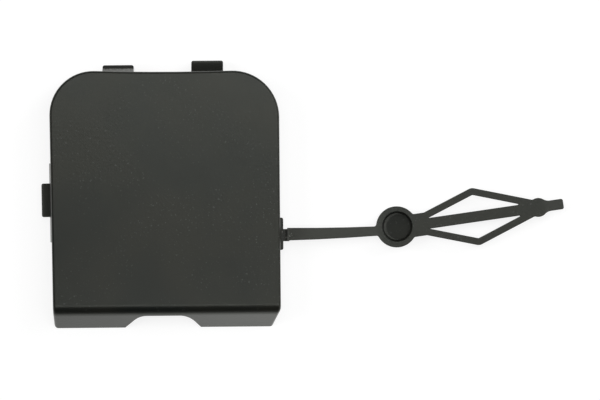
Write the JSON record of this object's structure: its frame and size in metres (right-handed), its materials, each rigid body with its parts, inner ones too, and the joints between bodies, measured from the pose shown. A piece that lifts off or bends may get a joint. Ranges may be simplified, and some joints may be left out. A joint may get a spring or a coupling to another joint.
{
  "type": "bumper tow hook cover",
  "caption": "Square cover plate with a folded, notched lip and snap hooks round its edge, held by a moulded strap with a plug and a squeeze-in anchor.",
  "frame": {"origin": "middle of the flat show face", "axes": "+Z out of the show face, +Y towards the edge with two hooks, +X towards the side that the strap leaves from"},
  "size_m": [0.2307, 0.1178, 0.0129],
  "materials": {
    "black_plastic": "fine moulded grain, satin"
  },
  "bodies": {
    "root": {"tow_hook_cover": "black_plastic"}
  },
  "joints": []
}
